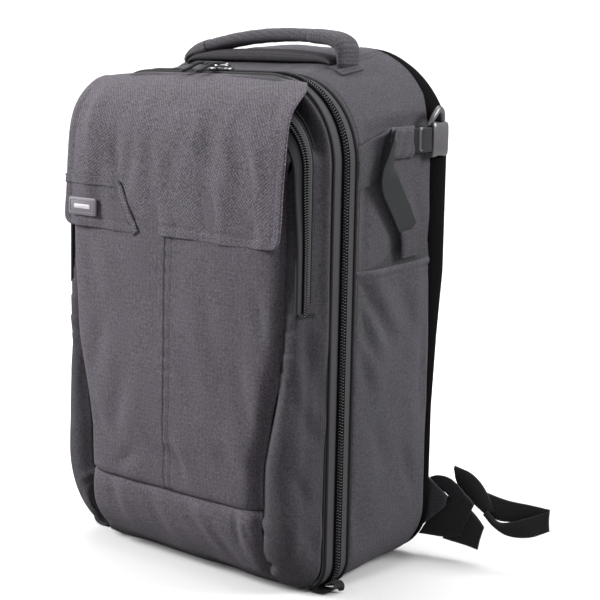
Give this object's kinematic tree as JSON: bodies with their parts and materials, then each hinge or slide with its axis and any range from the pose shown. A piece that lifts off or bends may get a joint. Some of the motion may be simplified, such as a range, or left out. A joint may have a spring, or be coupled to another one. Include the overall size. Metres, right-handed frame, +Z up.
{
  "type": "drone carrying case",
  "caption": "Padded backpack case for a quadcopter: soft box with a zipped drop-down lid, flap-covered front pocket, side pockets, carry handle and shoulder harness.",
  "frame": {"origin": "on the floor plane, midway across, under the main compartment and 60 mm behind the main zip", "axes": "+Z up, -Y towards the front flap, +Y towards the harness, +X towards the side seen on the right from the front"},
  "size_m": [0.5876, 0.2781, 0.5388],
  "materials": {
    "oxford_fabric": "tight oxford weave, matt",
    "wing_fabric": "fine oxford weave, matt",
    "ballistic_nylon": "coarse diagonal weave with a slight sheen",
    "ripstop_nylon": "ripstop grid, matt",
    "lining_fabric": "smooth lining",
    "divider_velour": "brushed loop pile",
    "closed_cell_foam": "foam under loop lining",
    "air_mesh": "spacer mesh",
    "zip_tape": "herringbone zip tape",
    "nylon_coil": "nylon coil",
    "black_webbing": "ribbed webbing",
    "acetal_plastic": "semi-gloss moulded acetal",
    "frame_plastic": "stiff polyethylene sheet",
    "gunmetal": "dark plated zinc",
    "badge_rubber": "moulded soft rubber"
  },
  "bodies": {
    "root": {"shell_wall": "oxford_fabric", "shell_back": "lining_fabric", "frame_sheet": "frame_plastic", "back_foam": "closed_cell_foam", "foam_liner": "closed_cell_foam", "divider_shelf": "divider_velour", "back_panel": "oxford_fabric", "back_pad": "air_mesh", "strap_yoke": "oxford_fabric", "rear_binding": "black_webbing", "shell_zip_tape": "zip_tape", "shell_zip_coil": "nylon_coil", "handle_base_band": "black_webbing", "divider_column_left": "divider_velour", "divider_column_right": "divider_velour", "divider_side_left": "divider_velour", "divider_side_right": "divider_velour", "side_pocket_left": "oxford_fabric", "side_pocket_right": "oxford_fabric", "compression_wing_left": "oxford_fabric", "compression_wing_right": "oxford_fabric", "buckle_socket_left": "acetal_plastic", "buckle_socket_right": "acetal_plastic", "harness_wing_left": "black_webbing", "harness_wing_right": "black_webbing", "lower_web_left": "black_webbing", "lower_web_right": "black_webbing", "waist_web_left": "black_webbing", "waist_web_right": "black_webbing"},
    "lid": {"lid_panel": "divider_velour", "lid_mesh_pocket_upper": "air_mesh", "lid_mesh_pocket_lower": "air_mesh", "lid_hinge_strip": "oxford_fabric", "lid_zip_tape": "zip_tape", "lid_zip_coil": "nylon_coil", "pocket_centre": "ripstop_nylon", "pocket_band": "ripstop_nylon", "pocket_wing_left": "wing_fabric", "pocket_wing_right": "wing_fabric", "pocket_zip": "nylon_coil"},
    "flap": {"flap": "ballistic_nylon", "flap_insert": "ripstop_nylon", "flap_badge": "badge_rubber"},
    "pocket_slider": {"pocket_slider": "gunmetal", "pocket_pull": "black_webbing"},
    "handle": {"handle_grip": "ballistic_nylon"},
    "slider_left": {"main_slider_left": "gunmetal"},
    "pull_left": {"pull_left_ring": "gunmetal", "pull_left_cord": "black_webbing"},
    "buckle_left": {"buckle_plug_left": "acetal_plastic", "compression_web_left": "black_webbing"},
    "strap_left": {"shoulder_strap_left": "air_mesh"},
    "lock_left": {"ladder_lock_left": "acetal_plastic"},
    "slider_right": {"main_slider_right": "gunmetal"},
    "pull_right": {"pull_right_ring": "gunmetal", "pull_right_cord": "black_webbing"},
    "buckle_right": {"buckle_plug_right": "acetal_plastic", "compression_web_right": "black_webbing"},
    "strap_right": {"shoulder_strap_right": "air_mesh"},
    "lock_right": {"ladder_lock_right": "acetal_plastic"}
  },
  "joints": [
    {"name": "lid_open", "type": "hinge", "parent": "root", "child": "lid", "pos_m": [0, -0.06, 0], "axis": [1, 0, 0], "range_deg": [0, 80]},
    {"name": "flap_lift", "type": "hinge", "parent": "lid", "child": "flap", "pos_m": [0, -0.0865, 0.4885], "axis": [-1, 0, 0], "range_deg": [0, 95]},
    {"name": "pocket_slide", "type": "slide", "parent": "lid", "child": "pocket_slider", "axis": [1, 0, 0], "range_m": [-0.045, 0.085]},
    {"name": "handle_tilt", "type": "hinge", "parent": "root", "child": "handle", "pos_m": [0, 0.006, 0.513], "axis": [1, 0, 0], "range_deg": [-25, 25]},
    {"name": "main_slide_left", "type": "slide", "parent": "root", "child": "slider_left", "axis": [-1, 0, 0], "range_m": [0, 0.051]},
    {"name": "main_slide_right", "type": "slide", "parent": "root", "child": "slider_right", "axis": [1, 0, 0], "range_m": [0, 0.045]},
    {"name": "pull_swing_left", "type": "hinge", "parent": "slider_left", "child": "pull_left", "pos_m": [-0.006, -0.06, 0.5022], "axis": [-0.788, 0.6157, 0], "range_deg": [0, 120]},
    {"name": "pull_swing_right", "type": "hinge", "parent": "slider_right", "child": "pull_right", "pos_m": [0.01, -0.06, 0.5022], "axis": [-0.866, 0.5, 0], "range_deg": [0, 120]},
    {"name": "buckle_slide_left", "type": "slide", "parent": "root", "child": "buckle_left", "axis": [0, -1, 0], "range_m": [0, 0.028]},
    {"name": "strap_swing_left", "type": "hinge", "parent": "root", "child": "strap_left", "pos_m": [0, 0.112, 0.448], "axis": [1, 0, 0], "range_deg": [0, 15]},
    {"name": "lock_tilt_left", "type": "hinge", "parent": "strap_left", "child": "lock_left", "pos_m": [-0.0865, 0.1165, 0.202], "axis": [1, 0, 0], "range_deg": [-30, 30]},
    {"name": "buckle_slide_right", "type": "slide", "parent": "root", "child": "buckle_right", "axis": [0, -1, 0], "range_m": [0, 0.028]},
    {"name": "strap_swing_right", "type": "hinge", "parent": "root", "child": "strap_right", "pos_m": [0, 0.112, 0.448], "axis": [1, 0, 0], "range_deg": [0, 15]},
    {"name": "lock_tilt_right", "type": "hinge", "parent": "strap_right", "child": "lock_right", "pos_m": [0.0865, 0.1165, 0.202], "axis": [1, 0, 0], "range_deg": [-30, 30]}
  ]
}
